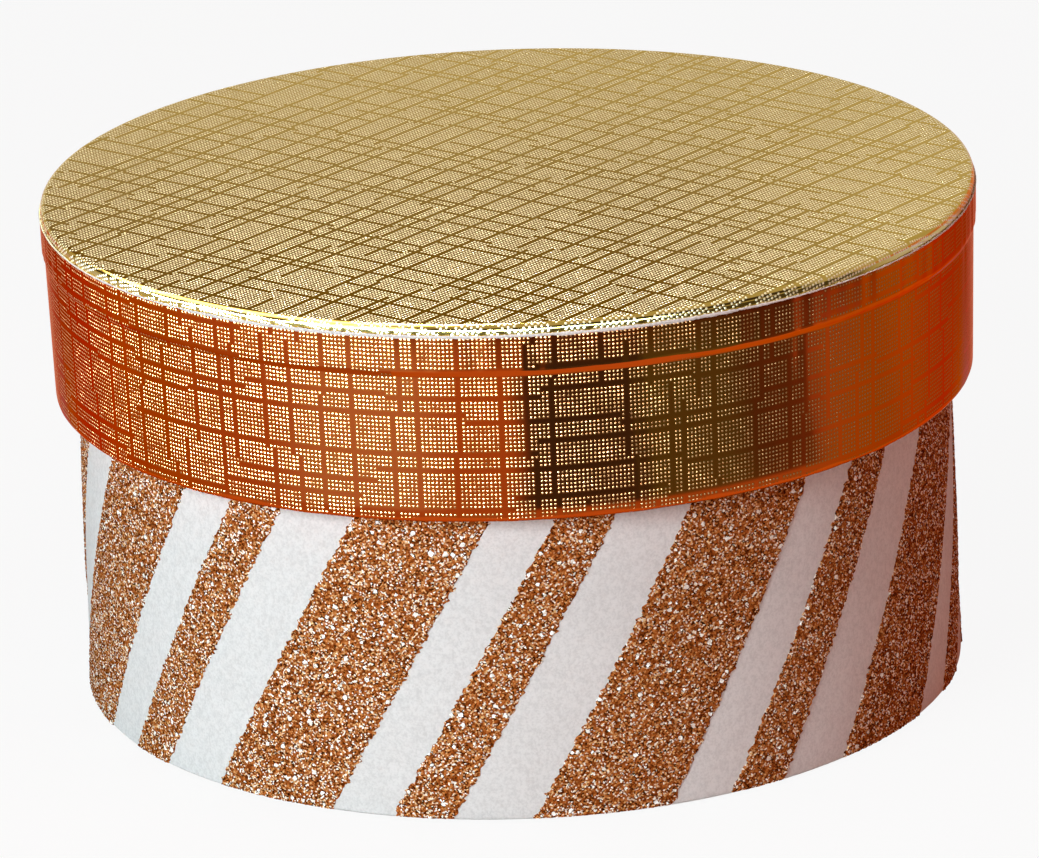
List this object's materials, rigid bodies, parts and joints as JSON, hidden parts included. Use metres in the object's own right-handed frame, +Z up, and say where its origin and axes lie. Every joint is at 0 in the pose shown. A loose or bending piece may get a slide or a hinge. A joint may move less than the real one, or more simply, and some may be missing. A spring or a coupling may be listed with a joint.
{
  "type": "round gift box",
  "caption": "Round rigid paper gift box with a lift-off lid in embossed gold foil and a white base with leaning copper glitter stripes.",
  "frame": {"origin": "centre of the closed box's footprint, on the surface it stands on", "axes": "+Z up through the lid, -Y towards the viewer of the reference picture, +Y at the seams of boards and wraps"},
  "size_m": [0.12, 0.12, 0.0655],
  "materials": {
    "greyboard": "matt, fibrous",
    "kraft_tape": "satin",
    "white_paper": "matt, fine grain",
    "lining_paper": "matt",
    "copper_glitter": "coarse metallic glitter",
    "gold_foil_paper": "metallic foil, embossed with fine dots and crossed lines"
  },
  "bodies": {
    "base": {"base_wall_board": "greyboard", "base_wall_seam_tape": "kraft_tape", "base_bottom_board": "greyboard", "base_outer_paper": "white_paper", "base_bottom_paper": "white_paper", "base_wall_lining": "lining_paper", "base_floor_lining": "lining_paper", "glitter_stripe_wide_1": "copper_glitter", "glitter_stripe_wide_2": "copper_glitter", "glitter_stripe_wide_3": "copper_glitter", "glitter_stripe_wide_4": "copper_glitter", "glitter_stripe_wide_5": "copper_glitter", "glitter_stripe_wide_6": "copper_glitter", "glitter_stripe_wide_7": "copper_glitter", "glitter_stripe_wide_8": "copper_glitter", "glitter_stripe_wide_9": "copper_glitter", "glitter_stripe_wide_10": "copper_glitter", "glitter_stripe_narrow_1": "copper_glitter", "glitter_stripe_narrow_2": "copper_glitter", "glitter_stripe_narrow_3": "copper_glitter", "glitter_stripe_narrow_4": "copper_glitter", "glitter_stripe_narrow_5": "copper_glitter", "glitter_stripe_narrow_6": "copper_glitter", "glitter_stripe_narrow_7": "copper_glitter", "glitter_stripe_narrow_8": "copper_glitter", "glitter_stripe_narrow_9": "copper_glitter"},
    "lid": {"lid_rim_board": "greyboard", "lid_rim_seam_tape": "kraft_tape", "lid_top_board": "greyboard", "lid_top_foil": "gold_foil_paper", "lid_rim_foil": "gold_foil_paper", "lid_rim_lining": "lining_paper", "lid_top_lining": "lining_paper"}
  },
  "joints": [
    {"name": "lid_lift", "type": "slide", "parent": "base", "child": "lid", "axis": [0, 0, 1], "range_m": [0, 0.08]}
  ]
}
